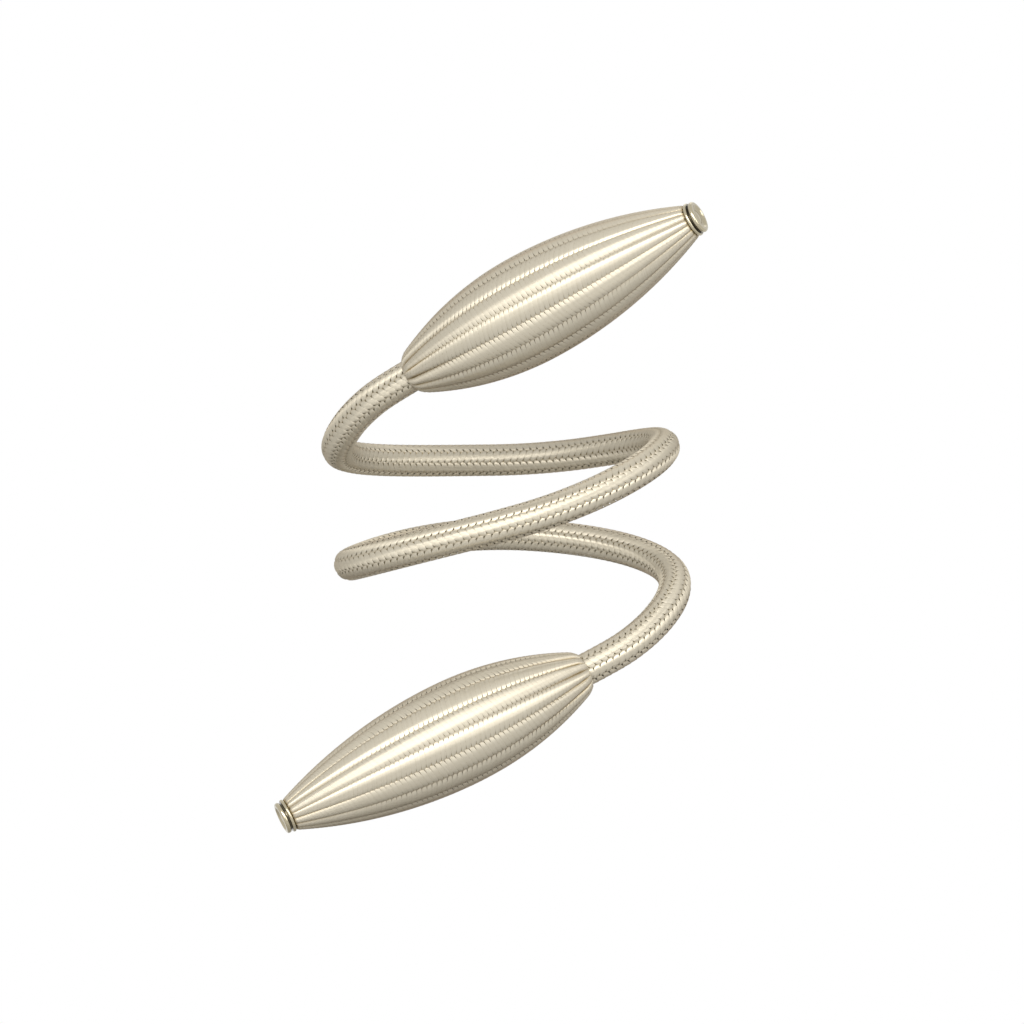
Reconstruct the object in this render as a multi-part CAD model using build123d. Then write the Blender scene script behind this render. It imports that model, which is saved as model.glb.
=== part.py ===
from build123d import *
import os
from math import cos, radians, sin, sqrt, tan

# A bendable curtain tieback: a braided cord with a wire inside, wound in about two oval turns,
# with a thread-covered spindle and a turned metal cap on each end.
# Millimetres. +Z is up along the axis of the coil, -Y is the front, and the origin is on that axis.

# Cord, from the outside in
CORD_DIAMETER = 9.2
BRAID_WALL = 1.0
WIRE_DIAMETER = 3.2
LAYER_GAP = 0.1  # radial room between one layer of the cord and the next

# Coil, along the centre of the cord
COIL_HALF_WIDTH = 43.0  # at the middle of the coil
COIL_HALF_DEPTH = 31.0
COIL_FLARE = 6.7  # growth of the half width over a full turn away from the middle
POINTS_PER_TURN = 20
ARC_SHARE = 0.45  # part of the shorter run beside a point that its arc takes up
# Degrees round the axis from the front of the middle pass, towards +X, and the height there
COIL_HEIGHTS = (
    (-325.5, -41.1),
    (-270.0, -22.4),
    (-180.0, -12.5),
    (-90.0, -17.8),
    (0.0, -3.0),
    (90.0, 15.9),
    (180.0, 9.0),
    (270.0, 14.6),
    (319.5, 34.5),
)
UPPER_CLIMB = 28.0  # degrees that the upper spindle rises from its neck
LOWER_FALL = 23.0  # degrees that the lower spindle drops from its neck
NECK_LEAD = 7.0  # straight cord in front of each spindle's mouth

# Spindle, measured along its axis from the mouth that the cord enters
SPINDLE_DIAMETER = 29.5
SPINDLE_LENGTH = 91.0
WIDEST_AT = 40.0
COVER_WALL = 0.8
COVER_GAP = 0.1  # room between the cover and the core
NECK_WALL = 0.95  # cover gathered round the cord at the mouth
NECK_GATHER = 3.0  # length of that gathered collar
TIP_GATHER = 1.8  # length of the cover gathered under the cap
CORD_FIT = 0.15  # radial room of the cord in the mouth and the socket
SOCKET_DEPTH = 18.0
WIRE_TAIL = 20.0  # bare wire past the end of the braid
WIRE_FIT = 0.1
GLUE_ROOM = 0.5  # left past the ends of the wire and the shank

# Ribs of the cover: grooves between the braid's columns, deep at the ends and faint at the waist
RIB_COUNT = 16
GROOVE_RADIUS = 1.2
NECK_GROOVE_DEPTH = 0.4
WAIST_GROOVE_DEPTH = 0.14
TIP_GROOVE_DEPTH = 0.32
GROOVE_OVERRUN = 1.0

# End cap, measured from the end of the cover
CAP_FLANGE_DIAMETER = 9.4
CAP_FLANGE_HEIGHT = 0.9
CAP_OVERHANG = 0.2  # how far the flange stands out past the cover's tip
CAP_GROOVE_DIAMETER = 7.4
CAP_GROOVE_WIDTH = 0.35
CAP_RIM_DIAMETER = 8.8
CAP_RIM_HEIGHT = 1.3
CAP_DISH_DIAMETER = 6.6
CAP_DISH_DEPTH = 0.65
CAP_DOME_DIAMETER = 4.0
CAP_DOME_HEIGHT = 0.4
CAP_ROUND_SHARE = 0.45  # part of a rim's height that each of its rounded edges takes up
SHANK_DIAMETER = 5.0
SHANK_LENGTH = 8.0
SHANK_CHAMFER = 0.6
SHANK_FIT = 0.1

braid_radius = CORD_DIAMETER / 2
jacket_radius = braid_radius - BRAID_WALL - LAYER_GAP
wire_radius = WIRE_DIAMETER / 2
mouth_radius = braid_radius + CORD_FIT
neck_radius = mouth_radius + NECK_WALL
widest_radius = SPINDLE_DIAMETER / 2
tip_radius = CAP_FLANGE_DIAMETER / 2 - CAP_OVERHANG
shank_hole_radius = SHANK_DIAMETER / 2 + SHANK_FIT
core_inset = COVER_WALL + COVER_GAP

os.makedirs("parts", exist_ok=True)


# Route of the cord
def coil_height(angle):
    """Height of the cord's centre, on a smooth curve through the listed heights."""
    last = len(COIL_HEIGHTS) - 1
    start = max(i for i in range(last) if angle >= COIL_HEIGHTS[i][0] or i == 0)

    def slope(i):
        (angle_a, height_a), (angle_b, height_b) = COIL_HEIGHTS[max(i - 1, 0)], COIL_HEIGHTS[min(i + 1, last)]
        return (height_b - height_a) / (angle_b - angle_a)

    (angle_a, height_a), (angle_b, height_b) = COIL_HEIGHTS[start], COIL_HEIGHTS[start + 1]
    span = angle_b - angle_a
    t = (angle - angle_a) / span
    ease = t * t * (3 - 2 * t)
    tangents = slope(start) * t * (1 - t) ** 2 - slope(start + 1) * t * t * (1 - t)
    return height_a + (height_b - height_a) * ease + span * tangents


def coil_point(angle):
    half_width = COIL_HALF_WIDTH + COIL_FLARE * abs(angle) / 360
    return Vector(half_width * sin(radians(angle)), -COIL_HALF_DEPTH * cos(radians(angle)), coil_height(angle))


lower_angle = COIL_HEIGHTS[0][0]
upper_angle = COIL_HEIGHTS[-1][0]
step_count = round((upper_angle - lower_angle) * POINTS_PER_TURN / 360)
step = (upper_angle - lower_angle) / step_count
coil_points = [coil_point(lower_angle + i * step) for i in range(step_count + 1)]


def spindle_frame(angle, way, climb):
    """Plane at a spindle's mouth, with its z along the spindle: the next run of the coil, kept straight."""
    half_width = COIL_HALF_WIDTH + COIL_FLARE * abs(angle) / 360
    next_angle = radians(angle + way * step / 2)
    heading = Vector(half_width * cos(next_angle), COIL_HALF_DEPTH * sin(next_angle), 0).normalized() * way
    direction = heading * cos(radians(climb)) + Vector(0, 0, 1) * sin(radians(climb))
    across = Vector(0, 0, 1).cross(heading)
    return Plane(origin=coil_point(angle) + direction * NECK_LEAD, x_dir=across, z_dir=direction)


upper_frame = spindle_frame(upper_angle, 1, UPPER_CLIMB)
lower_frame = spindle_frame(lower_angle, -1, -LOWER_FALL)


def cord_path(reach):
    """Straight runs joined by tangent arcs, ending at this reach inside both spindles."""
    start = lower_frame.origin + lower_frame.z_dir * reach
    end = upper_frame.origin + upper_frame.z_dir * reach
    points = [start, *coil_points, end]
    radii = []
    for before, corner, after in zip(points, points[1:], points[2:]):
        run_in = corner - before
        run_out = after - corner
        turn = radians(run_in.get_angle(run_out))
        radii.append(ARC_SHARE * min(run_in.length, run_out.length) / tan(turn / 2))
    print("cord arcs, mm:", [round(radius, 1) for radius in radii])
    return FilletPolyline(*points, radius=radii)


def cord_layer(outer_radius, inner_radius, reach):
    path = cord_path(reach)
    section = Circle(outer_radius)
    if inner_radius:
        section -= Circle(inner_radius)
    layer = sweep(Plane(origin=path @ 0, z_dir=path % 0) * section, path=path)
    print("cord length, mm:", round(path.length, 1), "volume to section times length:",
          round(layer.volume / (section.area * path.length), 5))
    return layer


export_step(cord_layer(braid_radius, braid_radius - BRAID_WALL, SOCKET_DEPTH), "parts/braided_sleeve.step")
export_step(cord_layer(jacket_radius, wire_radius + LAYER_GAP, SOCKET_DEPTH), "parts/wire_jacket.step")
export_step(cord_layer(wire_radius, 0, SOCKET_DEPTH + WIRE_TAIL), "parts/core_wire.step")


# Outline of the spindle: two arcs that meet at the widest place, parallel to the axis there
def flank_radius(end_height, end_radius):
    length = abs(WIDEST_AT - end_height)
    drop = widest_radius - end_radius
    return (length**2 + drop**2) / (2 * drop)


neck_flank = flank_radius(0, neck_radius)
tip_flank = flank_radius(SPINDLE_LENGTH, tip_radius)


def outline_point(height, inset):
    """Point of the outline, moved in square to the surface by the inset."""
    flank = neck_flank if height < WIDEST_AT else tip_flank
    return (widest_radius - flank + sqrt((flank - inset) ** 2 - (height - WIDEST_AT) ** 2), height)


def outline(inset, neck_end, tip_end):
    """The two arcs at this inset, from the neck end to the tip end."""
    waist = (widest_radius - inset, WIDEST_AT)
    neck_arc = TangentArc(waist, outline_point(neck_end, inset), tangent=(0, -1))
    tip_arc = TangentArc(waist, outline_point(tip_end, inset), tangent=(0, 1))
    return [neck_arc, tip_arc]


def turned(edges):
    return revolve(Plane.XZ * make_face(edges), Axis.Z)


# Core: a turned spindle with a socket for the cord, a glue hole for the wire and one for the cap
core_neck = NECK_GATHER + COVER_GAP
core_tip = SPINDLE_LENGTH - TIP_GATHER - COVER_GAP
wire_hole_end = SOCKET_DEPTH + WIRE_TAIL + GLUE_ROOM
shank_hole_start = SPINDLE_LENGTH - SHANK_LENGTH - GLUE_ROOM
spindle_core = turned(
    [
        *outline(core_inset, core_neck, core_tip),
        Polyline(
            outline_point(core_neck, core_inset),
            (mouth_radius, core_neck),
            (mouth_radius, SOCKET_DEPTH),
            (wire_radius + WIRE_FIT, SOCKET_DEPTH),
            (wire_radius + WIRE_FIT, wire_hole_end),
            (0, wire_hole_end),
            (0, shank_hole_start),
            (shank_hole_radius, shank_hole_start),
            (shank_hole_radius, core_tip),
            outline_point(core_tip, core_inset),
        ),
    ]
)

# Cover: a thin sleeve over the core, gathered at both ends, with grooves between the braid's columns
cover_tip = SPINDLE_LENGTH - TIP_GATHER
cover_blank = turned(
    [
        *outline(0, 0, SPINDLE_LENGTH),
        Polyline(
            (neck_radius, 0),
            (mouth_radius, 0),
            (mouth_radius, NECK_GATHER),
            outline_point(NECK_GATHER, COVER_WALL),
        ),
        *outline(COVER_WALL, NECK_GATHER, cover_tip),
        Polyline(
            outline_point(cover_tip, COVER_WALL),
            (shank_hole_radius, cover_tip),
            (shank_hole_radius, SPINDLE_LENGTH),
            (tip_radius, SPINDLE_LENGTH),
        ),
    ]
)


def groove_end(height, depth):
    radius, height = outline_point(height, 0)
    return (radius + GROOVE_RADIUS - depth, height)


groove_waist = (widest_radius + GROOVE_RADIUS - WAIST_GROOVE_DEPTH, WIDEST_AT)
groove_path = Plane.XZ * Wire(
    [
        TangentArc(groove_waist, groove_end(-GROOVE_OVERRUN, NECK_GROOVE_DEPTH), tangent=(0, -1)),
        TangentArc(groove_waist, groove_end(SPINDLE_LENGTH + GROOVE_OVERRUN, TIP_GROOVE_DEPTH), tangent=(0, 1)),
    ]
)
groove = sweep(Plane(origin=groove_path @ 0, z_dir=groove_path % 0) * Circle(GROOVE_RADIUS), path=groove_path)
spindle_cover = cover_blank - PolarLocations(0, RIB_COUNT) * groove

# End cap: a flange on the cover's tip, a groove, a rolled rim and a dished face with a low dome
flange_radius = CAP_FLANGE_DIAMETER / 2
cap_groove_radius = CAP_GROOVE_DIAMETER / 2
rim_radius = CAP_RIM_DIAMETER / 2
rim_base = CAP_FLANGE_HEIGHT + CAP_GROOVE_WIDTH
rim_top = rim_base + CAP_RIM_HEIGHT
dish_floor = rim_top - CAP_DISH_DEPTH
flange_round = CAP_ROUND_SHARE * CAP_FLANGE_HEIGHT
rim_round = min(CAP_ROUND_SHARE * CAP_RIM_HEIGHT, rim_radius - cap_groove_radius)
cap_side = FilletPolyline(
    (0, -SHANK_LENGTH),
    (SHANK_DIAMETER / 2 - SHANK_CHAMFER, -SHANK_LENGTH),
    (SHANK_DIAMETER / 2, SHANK_CHAMFER - SHANK_LENGTH),
    (SHANK_DIAMETER / 2, 0),
    (flange_radius, 0),
    (flange_radius, CAP_FLANGE_HEIGHT),
    (cap_groove_radius, CAP_FLANGE_HEIGHT),
    (cap_groove_radius, rim_base),
    (rim_radius, rim_base),
    (rim_radius, rim_top),
    (CAP_DISH_DIAMETER / 2, rim_top),
    radius=(0, 0, 0, flange_round, flange_round, 0, 0, rim_round, rim_round),
)
dome_edge = (CAP_DOME_DIAMETER / 2, dish_floor)
dome_top = (0, dish_floor + CAP_DOME_HEIGHT)
end_cap = turned(
    [
        *cap_side.edges(),
        TangentArc(dome_edge, (CAP_DISH_DIAMETER / 2, rim_top), tangent=(1, 0)),
        TangentArc(dome_top, dome_edge, tangent=(1, 0)),
        Line(dome_top, (0, -SHANK_LENGTH)),
    ]
)

for name, frame in (("upper", upper_frame), ("lower", lower_frame)):
    cap_frame = frame.offset(SPINDLE_LENGTH)
    export_step(frame * spindle_core, f"parts/{name}_spindle_core.step")
    export_step(frame * spindle_cover, f"parts/{name}_spindle_cover.step")
    export_step(cap_frame * end_cap, f"parts/{name}_end_cap.step")
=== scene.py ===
from math import cos, pi, radians, sin

import bpy
import numpy as np
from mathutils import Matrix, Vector


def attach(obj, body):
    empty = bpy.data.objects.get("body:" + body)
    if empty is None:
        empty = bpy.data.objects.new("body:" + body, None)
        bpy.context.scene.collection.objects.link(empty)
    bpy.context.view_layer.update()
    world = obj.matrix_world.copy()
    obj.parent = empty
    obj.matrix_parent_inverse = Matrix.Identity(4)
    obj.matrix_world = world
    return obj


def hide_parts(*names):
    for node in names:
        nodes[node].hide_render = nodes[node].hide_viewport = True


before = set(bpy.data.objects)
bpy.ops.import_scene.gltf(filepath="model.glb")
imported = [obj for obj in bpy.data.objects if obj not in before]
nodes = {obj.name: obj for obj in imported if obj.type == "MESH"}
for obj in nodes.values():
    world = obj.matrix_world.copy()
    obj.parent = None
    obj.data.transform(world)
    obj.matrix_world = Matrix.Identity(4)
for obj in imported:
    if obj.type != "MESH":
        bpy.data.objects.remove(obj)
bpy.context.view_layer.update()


# Core wire: one length of soft aluminium wire that runs inside the cord from spindle to spindle.
# It is annealed and drawn bright through a die, and it is what lets the cord be wound and keep its bends.

MM = 0.001


def linear(hex_colour):
    """An sRGB hex colour as the linear colour that a shader takes."""
    channels = [int(hex_colour[i:i + 2], 16) / 255 for i in (1, 3, 5)]
    return [c / 12.92 if c <= 0.04045 else ((c + 0.055) / 1.055) ** 2.4 for c in channels] + [1.0]


def add_node(tree, kind, sockets, **settings):
    """Adds a node with its settings, and gives each named socket a value or a link from another node."""
    node = tree.nodes.new("ShaderNode" + kind)
    for setting, value in settings.items():
        setattr(node, setting, value)
    for socket, value in sockets.items():
        if isinstance(value, bpy.types.NodeSocket):
            tree.links.new(value, node.inputs[socket])
        else:
            node.inputs[socket].default_value = value
    return node


def blend(tree, share, first_tone, second_tone):
    """A colour that goes from the first tone to the second as a share goes from 0 to 1."""
    mix = add_node(tree, "Mix", {0: share, 6: first_tone, 7: second_tone}, data_type="RGBA")
    return mix.outputs[2]


def specks(tree, size, detail):
    """A share from 0 to 1 that varies in soft specks of about one size, all through the piece."""
    place = add_node(tree, "TexCoord", {})
    noise = add_node(tree, "TexNoise", {
        "Vector": place.outputs["Object"], "Scale": 1 / size, "Detail": detail})
    return noise.outputs["Fac"]


def start_material(name):
    """A new material with an empty node tree."""
    material = bpy.data.materials.new(name)
    material.use_nodes = True
    material.node_tree.nodes.clear()
    return material, material.node_tree


def dress(node_name, material):
    """Puts a material on a CAD node that stays as it is."""
    for slot in nodes[node_name].material_slots:
        slot.material = material


# Drawn aluminium: bright and slightly streaked, with fine scratches from the die every 0.3 mm.
drawn_aluminium, tree = start_material("drawn_aluminium")
scratches = specks(tree, 0.3 * MM, 3.0)
tone = blend(tree, scratches, linear("#B9BCC0"), linear("#DADCDE"))
dent = add_node(tree, "Bump", {"Height": scratches, "Strength": 0.2, "Distance": 0.02 * MM})
metal = add_node(tree, "BsdfPrincipled", {
    "Base Color": tone, "Metallic": 1.0, "Roughness": 0.32, "Normal": dent.outputs["Normal"]})
add_node(tree, "OutputMaterial", {"Surface": metal.outputs["BSDF"]})
dress("core_wire", drawn_aluminium)


# Wire jacket: a round sleeve of soft plastic, extruded over the core wire.
# It fills the braid out to its full thickness and keeps the wire from showing through.

# Soft PVC, extruded: milky and even, with a faint clouding every 2 mm.
soft_pvc, tree = start_material("soft_pvc")
tone = blend(tree, specks(tree, 2.0 * MM, 2.0), linear("#DCD6C6"), linear("#EAE6DA"))
plastic = add_node(tree, "BsdfPrincipled", {"Base Color": tone, "Roughness": 0.45, "IOR": 1.53})
add_node(tree, "OutputMaterial", {"Surface": plastic.outputs["BSDF"]})
dress("wire_jacket", soft_pvc)


# Braided cord: flat strands of satin thread, plaited two over two round the jacket, eight each way.
# It is wound once and three quarters round, and each end is glued into the mouth of a spindle.

COIL_HALF_WIDTH = 43.0 * MM
COIL_HALF_DEPTH = 31.0 * MM
COIL_FLARE = 6.7 * MM
# Angles round the coil in degrees, with the height of the cord's middle there in millimetres.
COIL_HEIGHTS = (
    (-325.5, -41.1), (-270.0, -22.4), (-180.0, -12.5), (-90.0, -17.8), (0.0, -3.0),
    (90.0, 15.9), (180.0, 9.0), (270.0, 14.6), (319.5, 34.5))
POINTS_PER_TURN = 20
CURVE_STEPS = 24
UPPER_CLIMB = 28.0
LOWER_CLIMB = -23.0
NECK_LEAD = 7.0 * MM
SOCKET_DEPTH = 18.0 * MM


def coil_height(angle):
    """The height of the cord's middle at an angle, eased from each listed height to the next."""
    last = len(COIL_HEIGHTS) - 1
    start = max(i for i in range(last) if angle >= COIL_HEIGHTS[i][0] or i == 0)

    def slope(i):
        before = COIL_HEIGHTS[max(i - 1, 0)]
        after = COIL_HEIGHTS[min(i + 1, last)]
        return (after[1] - before[1]) / (after[0] - before[0])

    (angle_a, height_a), (angle_b, height_b) = COIL_HEIGHTS[start], COIL_HEIGHTS[start + 1]
    span = angle_b - angle_a
    t = (angle - angle_a) / span
    ease = t * t * (3 - 2 * t)
    tangents = slope(start) * t * (1 - t) ** 2 - slope(start + 1) * t * t * (1 - t)
    return (height_a + (height_b - height_a) * ease + span * tangents) * MM


def coil_half_width(angle):
    """Half the width of the coil at an angle: it is a little wider with each turn."""
    return COIL_HALF_WIDTH + COIL_FLARE * abs(angle) / 360


def coil_point(angle):
    """A point of the cord's route, which is an oval coil seen from above."""
    turn = radians(angle)
    return Vector((coil_half_width(angle) * sin(turn), -COIL_HALF_DEPTH * cos(turn), coil_height(angle)))


first_angle, last_angle = COIL_HEIGHTS[0][0], COIL_HEIGHTS[-1][0]
step_count = round((last_angle - first_angle) * POINTS_PER_TURN / 360)
angle_step = (last_angle - first_angle) / step_count
coil_points = [coil_point(first_angle + i * angle_step) for i in range(step_count + 1)]


def spindle_axes(angle, way, climb):
    """A spindle's mouth and its three axes, the third along the spindle, away from the cord."""
    turn = radians(angle + way * angle_step / 2)
    heading = Vector((coil_half_width(angle) * cos(turn), COIL_HALF_DEPTH * sin(turn), 0)).normalized() * way
    up = Vector((0, 0, 1))
    along = heading * cos(radians(climb)) + up * sin(radians(climb))
    across = up.cross(heading)
    return coil_point(angle) + along * NECK_LEAD, across, along.cross(across), along


upper_axes = spindle_axes(last_angle, 1, UPPER_CLIMB)
lower_axes = spindle_axes(first_angle, -1, LOWER_CLIMB)
route = [
    lower_axes[0] + lower_axes[3] * SOCKET_DEPTH, *coil_points, upper_axes[0] + upper_axes[3] * SOCKET_DEPTH]

line = bpy.data.curves.new("cord_route", "CURVE")
line.dimensions = "3D"
spline = line.splines.new("NURBS")
spline.points.add(len(route) - 1)
for point, place_on_route in zip(spline.points, route):
    point.co = (*place_on_route, 1.0)
spline.order_u = 3
spline.use_endpoint_u = True
spline.resolution_u = CURVE_STEPS
line_object = bpy.data.objects.new("cord_route", line)
line_mesh = bpy.data.meshes.new_from_object(line_object)
path = np.array([vertex.co for vertex in line_mesh.vertices])
bpy.data.objects.remove(line_object)
bpy.data.curves.remove(line)
bpy.data.meshes.remove(line_mesh)

path_reach = np.concatenate([[0.0], np.cumsum(np.linalg.norm(np.diff(path, axis=0), axis=1))])
cord_length = path_reach[-1]
path_ahead = np.gradient(path, path_reach, axis=0)
path_ahead /= np.linalg.norm(path_ahead, axis=1)[:, None]
path_side = np.zeros_like(path)
side = np.cross(path_ahead[0], (0.0, 0.0, 1.0))
for i, ahead in enumerate(path_ahead):
    side = side - ahead * (side @ ahead)
    side = side / np.linalg.norm(side)
    path_side[i] = side
path_up = np.cross(path_ahead, path_side)


def on_cord(reach, turn, radius):
    """Points at a distance along the cord, an angle round it and a distance from its middle."""
    middle, side, up = (
        np.stack([np.interp(reach, path_reach, columns[:, k]) for k in range(3)], axis=-1)
        for columns in (path, path_side, path_up))
    return middle + side * (radius * np.cos(turn))[..., None] + up * (radius * np.sin(turn))[..., None]


# The section of a strand: a low rounded top, seven points across, over a flatter underside.
SECTION_ACROSS = np.array([-1.0, -0.8, -0.42, 0.0, 0.42, 0.8, 1.0, 0.0])
SECTION_RISE = np.array([0.0, 0.5, 0.88, 1.0, 0.88, 0.5, 0.0, -0.5])
SECTION_SIDES = (0, 6)
# Each strand floats across a column, flat and tight against its neighbours, and then dips under the next.
# It narrows and rounds up where it dips, which leaves a row of dark teeth between the columns.
FLOAT_STEPS = np.array([0.0, 0.13, 0.36, 0.64, 0.87])
FLOAT_WIDTH = 1.04
FLOAT_FLATNESS = 0.94
RIB_ROUNDNESS = 0.7
# The pitch is added up at this many places, and the strands' thread coordinates lie this far apart.
PLACES_MEASURED = 1000
THREAD_SPACING = 10.0 * MM


def plait(lean, count, start, end, pitch, middle_radius, swing, crown, dip_width, full_from, on_surface):
    """Vertices, faces and thread coordinates of the strands of a two-over-two braid that lean one way.
    It has as many columns as strands, and the strands of one lean come to the top in every second one."""
    places = np.linspace(start, end, PLACES_MEASURED)
    passed = np.concatenate([[0.0], np.cumsum(np.diff(places) / pitch((places[1:] + places[:-1]) / 2))])
    floats = np.arange(-1, passed[-1] + 2) - lean / 4
    phase = (floats[:, None] + FLOAT_STEPS).ravel()
    phase = np.concatenate([[0.0], phase[(phase > 0) & (phase < passed[-1])], [passed[-1]]])
    reach = np.interp(phase, passed, places)
    samples, ring = len(reach), len(SECTION_ACROSS)
    radius = middle_radius(reach)
    slant = np.arctan2(2 * pi * radius / count, pitch(reach))
    flatness = np.abs(np.cos(pi * phase - lean * pi / 4))
    dipped = dip_width(reach)
    width = dipped + (FLOAT_WIDTH - dipped) * np.clip(flatness / full_from, 0.0, 1.0)
    across = SECTION_ACROSS * (width * pitch(reach) * np.sin(slant) / 2)[:, None]
    here = np.clip(reach[:, None] - lean * np.sin(slant)[:, None] * across, start, end)
    round_by = np.cos(slant)[:, None] * across / radius[:, None]
    rise = SECTION_RISE * (crown(reach) * (1 - FLOAT_FLATNESS * flatness ** 2))[:, None]
    along_strand = np.concatenate([[0.0], np.cumsum(np.diff(reach) / np.cos(slant[1:]))])
    vertices, faces, threads = [], [], []
    for strand in range(count):
        turn = 2 * pi / count * (strand + lean * phase)[:, None] + round_by
        column = np.cos(count * turn / 2 - pi / 4) * -lean
        rib = swing(here) * np.sign(column) * np.abs(column) ** RIB_ROUNDNESS
        vertices.append(on_surface(here, turn, middle_radius(here) + rib + rise).reshape(-1, 3))
        threads.append(np.stack([
            across + strand * THREAD_SPACING,
            np.repeat(along_strand[:, None], ring, axis=1)], axis=-1).reshape(-1, 2))
        first = strand * samples * ring
        rows = first + np.arange(samples - 1)[:, None] * ring
        near = np.arange(ring)[None, :]
        far = (near + 1) % ring
        quads = np.stack([rows + near, rows + far, rows + ring + far, rows + ring + near], axis=-1)
        faces.extend(quads.reshape(-1, 4).tolist())
        faces.append([first + k for k in reversed(range(ring))])
        faces.append([first + (samples - 1) * ring + k for k in range(ring)])
    return np.concatenate(vertices), faces, np.concatenate(threads)


def add_piece(name, vertices, faces, material, threads=None):
    """A new smooth-shaded piece that rides on the object. One made of strands has thread coordinates,
    in metres, and keeps the two sides of each strand crisp."""
    mesh = bpy.data.meshes.new(name)
    mesh.from_pydata(vertices.tolist(), [], faces)
    mesh.polygons.foreach_set("use_smooth", [True] * len(mesh.polygons))
    if threads is not None:
        corner_vertices = np.zeros(len(mesh.loops), dtype=np.int32)
        mesh.loops.foreach_get("vertex_index", corner_vertices)
        layer = mesh.uv_layers.new(name="thread")
        layer.data.foreach_set("uv", threads[corner_vertices].astype(np.float32).ravel())
        edge_ends = np.zeros(2 * len(mesh.edges), dtype=np.int32)
        mesh.edges.foreach_get("vertices", edge_ends)
        side_a, side_b = (edge_ends.reshape(-1, 2) % len(SECTION_ACROSS)).T
        mesh.edges.foreach_set("use_edge_sharp", (side_a == side_b) & np.isin(side_a, SECTION_SIDES))
    mesh.materials.append(material)
    piece = bpy.data.objects.new(name, mesh)
    bpy.context.scene.collection.objects.link(piece)
    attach(piece, "root")
    return piece


# Satin polyester thread, champagne, with straw brown shade painted in where the strands nestle together.
# The flat faces of its filaments lie side by side and mirror the light in a long soft glint across each
# strand.
# Much of that light comes from inside the dyed filaments, so the thread is half metallic: the glint takes
# the dye's colour and turns golden at the rims. Real filaments are 0.02 mm apart, and they are drawn
# every 0.3 mm to show.
satin_thread, tree = start_material("satin_polyester_thread")
thread = add_node(tree, "UVMap", {}, uv_map="thread")
stretch = add_node(tree, "Mapping", {
    "Vector": thread.outputs["UV"], "Scale": (1 / (0.3 * MM), 1 / (6.0 * MM), 1.0)})
filaments = add_node(tree, "TexNoise", {"Vector": stretch.outputs["Vector"], "Scale": 1.0, "Detail": 2.0})
lots = add_node(tree, "Mapping", {
    "Vector": thread.outputs["UV"], "Scale": (1 / (10.0 * MM), 1 / (30.0 * MM), 1.0)})
dye = add_node(tree, "TexNoise", {"Vector": lots.outputs["Vector"], "Scale": 1.0, "Detail": 1.0})
thread_tone = blend(tree, filaments.outputs["Fac"], linear("#B8AF9A"), linear("#E2DBCB"))
dyed_tone = blend(tree, dye.outputs["Fac"], thread_tone, linear("#CDC5B2"))
# Painted shade: ambient occlusion turns the thread straw brown in the teeth and in the valleys between ribs.
shade_occlusion = add_node(tree, "AmbientOcclusion", {"Distance": 1.2 * MM}, samples=8)
unshaded_share = add_node(tree, "MapRange", {"Value": shade_occlusion.outputs["AO"], "From Min": 0.45, "From Max": 0.95})
shaded_tone = blend(tree, unshaded_share.outputs["Result"], linear("#96804E"), dyed_tone)
gloss = add_node(tree, "MapRange", {"Value": filaments.outputs["Fac"], "To Min": 0.37, "To Max": 0.45})
relief = add_node(tree, "Bump", {
    "Height": filaments.outputs["Fac"], "Strength": 0.3, "Distance": 0.04 * MM})
across_thread = add_node(tree, "Tangent", {}, direction_type="UV_MAP", uv_map="thread")
satin = add_node(tree, "BsdfPrincipled", {
    "Base Color": shaded_tone, "Roughness": gloss.outputs["Result"],
    "Metallic": 0.5, "IOR": 1.6, "Specular Tint": linear("#94702C"), "Anisotropic": 0.95,
    "Tangent": across_thread.outputs["Tangent"], "Normal": relief.outputs["Normal"]})
add_node(tree, "OutputMaterial", {"Surface": satin.outputs["BSDF"]})

CORD_DIAMETER = 9.2 * MM
CORD_STRANDS = 8
CORD_PITCH = 2.05 * MM
CORD_SWING = 0.34 * MM
CORD_CROWN = 0.16 * MM
CORD_DIP_WIDTH = 0.52
CORD_FULL_FROM = 0.55
CORD_TUCK = 10.0 * MM
cord_middle = CORD_DIAMETER / 2 - CORD_SWING - CORD_CROWN * (1 - FLOAT_FLATNESS)


def even(measure):
    """A measure that stays the same all along the cord."""
    return lambda reach: np.full_like(reach, measure)


for lean, name in ((-1, "cord_strands_left"), (1, "cord_strands_right")):
    vertices, faces, threads = plait(
        lean, CORD_STRANDS, CORD_TUCK, cord_length - CORD_TUCK, even(CORD_PITCH), even(cord_middle),
        even(CORD_SWING), even(CORD_CROWN), even(CORD_DIP_WIDTH), CORD_FULL_FROM, on_cord)
    add_piece(name, vertices, faces, satin_thread, threads)

# Spun filling yarn, matt, and painted darker than the satin as shade: it only shows as dark specks between
# the strands.
filling_yarn, tree = start_material("spun_filling_yarn")
fuzz = specks(tree, 0.4 * MM, 3.0)
tone = blend(tree, fuzz, linear("#B0A484"), linear("#CDC2A6"))
lint = add_node(tree, "Bump", {"Height": fuzz, "Strength": 0.5, "Distance": 0.1 * MM})
yarn = add_node(tree, "BsdfPrincipled", {
    "Base Color": tone, "Roughness": 0.9, "IOR": 1.54, "Normal": lint.outputs["Normal"]})
add_node(tree, "OutputMaterial", {"Surface": yarn.outputs["BSDF"]})

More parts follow.
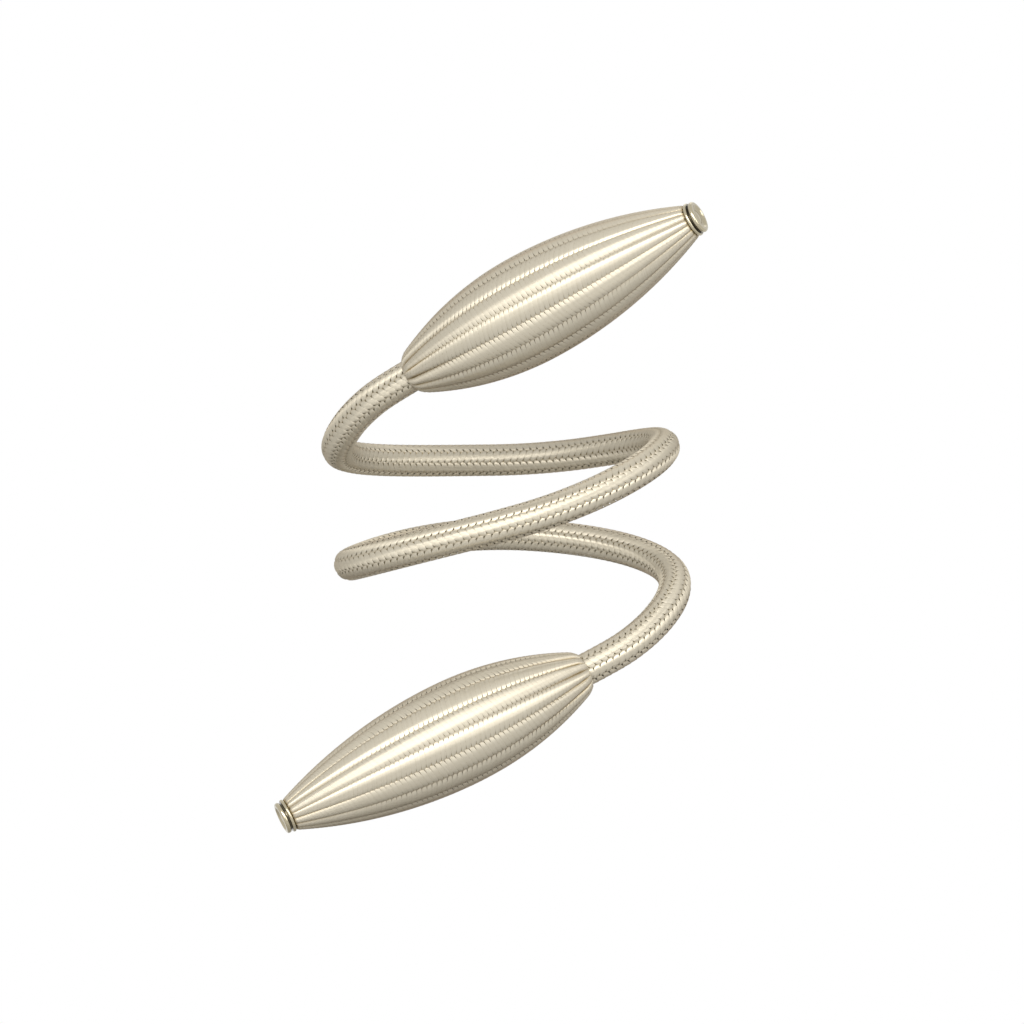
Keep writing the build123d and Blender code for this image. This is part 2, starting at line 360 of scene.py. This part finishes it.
FILLING_RADIUS = 4.0 * MM
FILLING_SIDES = 24
filling_rows = round(cord_length / MM) + 1
reach, turn = np.meshgrid(
    np.linspace(0.0, cord_length, filling_rows), np.arange(FILLING_SIDES) * 2 * pi / FILLING_SIDES,
    indexing="ij")
filling_points = on_cord(reach, turn, np.full_like(reach, FILLING_RADIUS)).reshape(-1, 3)
filling_faces = [
    [row * FILLING_SIDES + k, row * FILLING_SIDES + (k + 1) % FILLING_SIDES,
     (row + 1) * FILLING_SIDES + (k + 1) % FILLING_SIDES, (row + 1) * FILLING_SIDES + k]
    for row in range(filling_rows - 1) for k in range(FILLING_SIDES)]
filling_faces.append(list(reversed(range(FILLING_SIDES))))
filling_faces.append([(filling_rows - 1) * FILLING_SIDES + k for k in range(FILLING_SIDES)])
cord_filling = add_piece("cord_filling", filling_points, filling_faces, filling_yarn)
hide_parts("braided_sleeve")


# Spindle cores: two turned wooden spindles, bored at one end for the cord and at the other for the cap.
# They give the ends their long oval shape and are wholly covered by the braid.

# Beech, turned and left raw: pale pinkish brown, with growth rings every 2.5 mm and darker flecks of 1 mm.
# A wave texture of scale 1 repeats every 2 pi / 20.
WAVE_LENGTH = 2 * pi / 20
raw_beech, tree = start_material("raw_beech")
place = add_node(tree, "TexCoord", {})
rings = add_node(tree, "TexWave", {
    "Vector": place.outputs["Object"], "Scale": WAVE_LENGTH / (2.5 * MM), "Distortion": 3.0, "Detail": 2.0})
ring_tone = blend(tree, rings.outputs["Fac"], linear("#B88F66"), linear("#CDA981"))
fleck_tone = blend(tree, specks(tree, 1.0 * MM, 2.0), ring_tone, linear("#A67C55"))
wood = add_node(tree, "BsdfPrincipled", {"Base Color": fleck_tone, "Roughness": 0.6, "IOR": 1.5})
add_node(tree, "OutputMaterial", {"Surface": wood.outputs["BSDF"]})
dress("upper_spindle_core", raw_beech)
dress("lower_spindle_core", raw_beech)


# Spindle covers: the same flat satin strands, plaited over each core on a braiding machine.
# They are gathered in round the cord at the mouth and drawn under the rim of the cap at the tip.

SPINDLE_LENGTH = 91.0 * MM
WIDEST_AT = 40.0 * MM
NECK_RADIUS = 5.7 * MM
WIDEST_RADIUS = 14.75 * MM
TIP_RADIUS = 4.5 * MM
COVER_STRANDS = 16
WIDEST_PITCH = 1.5 * MM
END_PITCH = 1.05 * MM
NECK_SWING = 0.85 * MM
WAIST_SWING = 0.5 * MM
TIP_SWING = 0.42 * MM
GATHERED_SWING = 0.3 * MM
COVER_CROWN = 0.06 * MM
COVER_DIP_WIDTH = 0.82
COVER_FULL_FROM = 0.8
NECK_SMOOTH_LENGTH = 14.0 * MM
TIP_SMOOTH_LENGTH = 38.0 * MM
MOUTH_DRAW = 0.8 * MM
MOUTH_DRAW_LENGTH = 2.6 * MM
TIP_DRAW = 0.4 * MM
TIP_DRAW_LENGTH = 0.9 * MM
LEAST_FULLNESS = 0.1
COVER_INSET = 0.05 * MM


def spindle_outline(reach):
    """The spindle's radius at a distance from its mouth: two arcs that meet level at the widest place."""
    radius = np.zeros_like(reach)
    for end_radius, flank_length, flank in (
            (NECK_RADIUS, WIDEST_AT, reach <= WIDEST_AT),
            (TIP_RADIUS, SPINDLE_LENGTH - WIDEST_AT, reach > WIDEST_AT)):
        drop = WIDEST_RADIUS - end_radius
        flank_radius = (flank_length ** 2 + drop ** 2) / (2 * drop)
        off_middle = np.clip(np.abs(reach - WIDEST_AT), 0.0, flank_length)
        on_arc = WIDEST_RADIUS - flank_radius + np.sqrt(flank_radius ** 2 - off_middle ** 2)
        radius = np.where(flank, on_arc, radius)
    return radius


def cover_pitch(reach):
    """How far along the spindle a strand goes in crossing one column: the braid tightens toward both ends."""
    return np.interp(spindle_outline(reach), (TIP_RADIUS, WIDEST_RADIUS), (END_PITCH, WIDEST_PITCH))


def cover_swing(reach):
    """How far strands rise and dip: most where the columns crowd into ribs, least at the widest place."""
    toward_neck = np.clip(1 - reach / WIDEST_AT, 0.0, 1.0) ** 2
    toward_tip = np.clip((reach - WIDEST_AT) / (SPINDLE_LENGTH - WIDEST_AT), 0.0, 1.0) ** 2
    swing = WAIST_SWING + (NECK_SWING - WAIST_SWING) * toward_neck + (TIP_SWING - WAIST_SWING) * toward_tip
    from_ends = np.minimum(reach / MOUTH_DRAW_LENGTH, (SPINDLE_LENGTH - reach) / TIP_DRAW_LENGTH)
    return GATHERED_SWING + (swing - GATHERED_SWING) * np.clip(from_ends, 0.0, 1.0)


def cover_fullness(reach):
    """How separate the strands are: drawn tight into smooth ribs at both ends, and full in between."""
    from_ends = np.minimum(reach / NECK_SMOOTH_LENGTH, (SPINDLE_LENGTH - reach) / TIP_SMOOTH_LENGTH)
    return np.clip(from_ends, LEAST_FULLNESS, 1.0)


def cover_crown(reach):
    """How far the middle of a strand stands over its sides."""
    return COVER_CROWN * cover_fullness(reach)


def cover_dip_width(reach):
    """How wide a strand is where it dips, as a share of the room it has."""
    return FLOAT_WIDTH - (FLOAT_WIDTH - COVER_DIP_WIDTH) * cover_fullness(reach)


def cover_middle(reach):
    """Where the strands' own middle lies: under the outline, and drawn in at the mouth and the tip."""
    mouth = np.clip(1 - reach / MOUTH_DRAW_LENGTH, 0.0, 1.0) ** 2 * MOUTH_DRAW
    tip = np.clip(1 - (SPINDLE_LENGTH - reach) / TIP_DRAW_LENGTH, 0.0, 1.0) ** 2 * TIP_DRAW
    rise = cover_swing(reach) + cover_crown(reach) * (1 - FLOAT_FLATNESS)
    return spindle_outline(reach) - rise - mouth - tip


for name, (mouth, across, upward, along) in (("upper", upper_axes), ("lower", lower_axes)):
    def on_spindle(reach, turn, radius):
        """Points at a distance along this spindle, an angle round it and a distance from its middle."""
        return (
            np.array(mouth) + reach[..., None] * np.array(along)
            + (radius * np.cos(turn))[..., None] * np.array(across)
            + (radius * np.sin(turn))[..., None] * np.array(upward))

    both = [
        plait(
            lean, COVER_STRANDS, COVER_INSET, SPINDLE_LENGTH - COVER_INSET, cover_pitch,
            cover_middle, cover_swing, cover_crown, cover_dip_width, COVER_FULL_FROM, on_spindle)
        for lean in (-1, 1)]
    count = len(both[0][0])
    cover = add_piece(
        name + "_cover_braid", np.concatenate([both[0][0], both[1][0]]),
        both[0][1] + [[k + count for k in face] for face in both[1][1]], satin_thread,
        np.concatenate([both[0][2], both[1][2]]))
    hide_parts(name + "_spindle_cover")


# End caps: small turned metal buttons, glued by their shanks into the tips of the spindles.
# Each has two rims with a groove between them, and a dished face with a low dome in the middle.

# Polished nickel plate, slightly warm: bright on the rims, with shade painted dark into the groove and the
# dish, and dulled by handling in patches of 1.5 mm.
polished_nickel, tree = start_material("polished_nickel")
dulled = add_node(tree, "MapRange", {"Value": specks(tree, 1.5 * MM, 3.0), "To Min": 0.12, "To Max": 0.28})
# Painted shade: ambient occlusion darkens the plate in the groove, the dish and the gap at the cover.
hollow_shade_occlusion = add_node(tree, "AmbientOcclusion", {"Distance": 1.2 * MM}, samples=8)
unshaded_face_share = add_node(tree, "MapRange", {"Value": hollow_shade_occlusion.outputs["AO"], "From Min": 0.35, "From Max": 0.95})
plate = blend(tree, unshaded_face_share.outputs["Result"], linear("#4A4436"), linear("#B3AA92"))
nickel = add_node(tree, "BsdfPrincipled", {
    "Base Color": plate, "Metallic": 1.0, "Roughness": dulled.outputs["Result"]})
add_node(tree, "OutputMaterial", {"Surface": nickel.outputs["BSDF"]})
dress("upper_end_cap", polished_nickel)
dress("lower_end_cap", polished_nickel)


# Studio: a pale floor well below the object, a white surround and soft lamps, with the camera almost level.
# The key lamp is a wide strip above the camera, so a long glint lies just above each spindle's middle.

FLOOR_HEIGHT = -0.25
FLOOR_RADIUS = 0.38
FLOOR_SIDES = 64
FADE_FROM = 0.1
FADE_TO = 0.98 * FLOOR_RADIUS
floor_turns = [2 * pi * k / FLOOR_SIDES for k in range(FLOOR_SIDES)]
floor_rim = [(FLOOR_RADIUS * cos(turn), FLOOR_RADIUS * sin(turn), FLOOR_HEIGHT) for turn in floor_turns]
floor_mesh = bpy.data.meshes.new("floor")
floor_mesh.from_pydata(floor_rim, [], [list(range(FLOOR_SIDES))])
floor = bpy.data.objects.new("floor", floor_mesh)
bpy.context.scene.collection.objects.link(floor)


def shown_rays(tree):
    """1 for what is seen directly, mirrored or through glass, and 0 for the light thrown on a piece."""
    ray = add_node(tree, "LightPath", {})
    seen = add_node(tree, "Math", {
        0: ray.outputs["Is Camera Ray"], 1: ray.outputs["Is Glossy Ray"]}, operation="MAXIMUM")
    shown = add_node(tree, "Math", {
        0: seen.outputs["Value"], 1: ray.outputs["Is Transmission Ray"]}, operation="MAXIMUM")
    return shown.outputs["Value"]


# Matt white paper, fading out at its rim so that no edge shows. It throws less light back up than it shows,
# so the undersides stay in shade.
white_paper, tree = start_material("matt_white_paper")
place = add_node(tree, "TexCoord", {})
level_place = add_node(tree, "VectorMath", {
    0: place.outputs["Object"], 1: (1.0, 1.0, 0.0)}, operation="MULTIPLY")
off_middle = add_node(tree, "VectorMath", {0: level_place.outputs["Vector"]}, operation="LENGTH")
fade = add_node(tree, "MapRange", {
    "Value": off_middle.outputs["Value"], "From Min": FADE_FROM, "From Max": FADE_TO},
    interpolation_type="SMOOTHSTEP")
paper_tone = blend(tree, shown_rays(tree), linear("#6E6D6A"), linear("#F4F3F0"))
paper = add_node(tree, "BsdfPrincipled", {"Base Color": paper_tone, "Roughness": 0.9})
clear = add_node(tree, "BsdfTransparent", {})
faded = add_node(tree, "MixShader", {
    0: fade.outputs["Result"], 1: paper.outputs["BSDF"], 2: clear.outputs["BSDF"]})
add_node(tree, "OutputMaterial", {"Surface": faded.outputs["Shader"]})
floor_mesh.materials.append(white_paper)

# White to the eye and in reflections, but only a quiet even light on the object itself.
surround = bpy.data.worlds.new("white_surround")
bpy.context.scene.world = surround
surround.use_nodes = True
tree = surround.node_tree
tree.nodes.clear()
level = add_node(tree, "MapRange", {"Value": shown_rays(tree), "To Min": 0.1, "To Max": 1.0})
light = add_node(tree, "Background", {"Color": linear("#FFFFFF"), "Strength": level.outputs["Result"]})
add_node(tree, "OutputWorld", {"Surface": light.outputs["Background"]})

# Each lamp's azimuth and elevation in degrees, its distance, width and height in metres, and its watts.
for name, azimuth, elevation, distance, width, height, watts in (
        ("key_lamp", -8, 31, 1.2, 1.4, 0.5, 13.8),
        ("side_lamp", 46, 14, 1.2, 0.6, 0.6, 3.3),
        ("front_lamp", -2, 12, 1.2, 0.6, 0.6, 2.7),
        ("back_lamp", 170, 40, 1.3, 0.8, 0.8, 1.2)):
    lamp = bpy.data.lights.new(name, "AREA")
    lamp.shape = "RECTANGLE"
    lamp.size = width
    lamp.size_y = height
    lamp.energy = watts
    lamp_object = bpy.data.objects.new(name, lamp)
    toward = Vector((
        sin(radians(azimuth)) * cos(radians(elevation)), -cos(radians(azimuth)) * cos(radians(elevation)),
        sin(radians(elevation))))
    lamp_object.location = toward * distance
    lamp_object.rotation_euler = toward.to_track_quat("Z", "Y").to_euler()
    bpy.context.scene.collection.objects.link(lamp_object)

CAMERA_ELEVATION = radians(6.0)
CAMERA_DISTANCE = 1.0
# In pixels: the side of the image, the focal length, and how far the view is shifted right and up.
IMAGE_SIDE = 1024
FOCAL_LENGTH = 3550
SHIFT_RIGHT = 5.4
SHIFT_UP = -10.0
camera = bpy.data.cameras.new("camera")
camera.sensor_width = 36.0
camera.lens = FOCAL_LENGTH / IMAGE_SIDE * camera.sensor_width
camera.shift_x = SHIFT_RIGHT / IMAGE_SIDE
camera.shift_y = SHIFT_UP / IMAGE_SIDE
camera_object = bpy.data.objects.new("camera", camera)
camera_toward = Vector((0.0, -cos(CAMERA_ELEVATION), sin(CAMERA_ELEVATION)))
camera_object.location = camera_toward * CAMERA_DISTANCE
camera_object.rotation_euler = camera_toward.to_track_quat("Z", "Y").to_euler()
bpy.context.scene.collection.objects.link(camera_object)
bpy.context.scene.camera = camera_object
bpy.context.scene.view_settings.view_transform = "Standard"
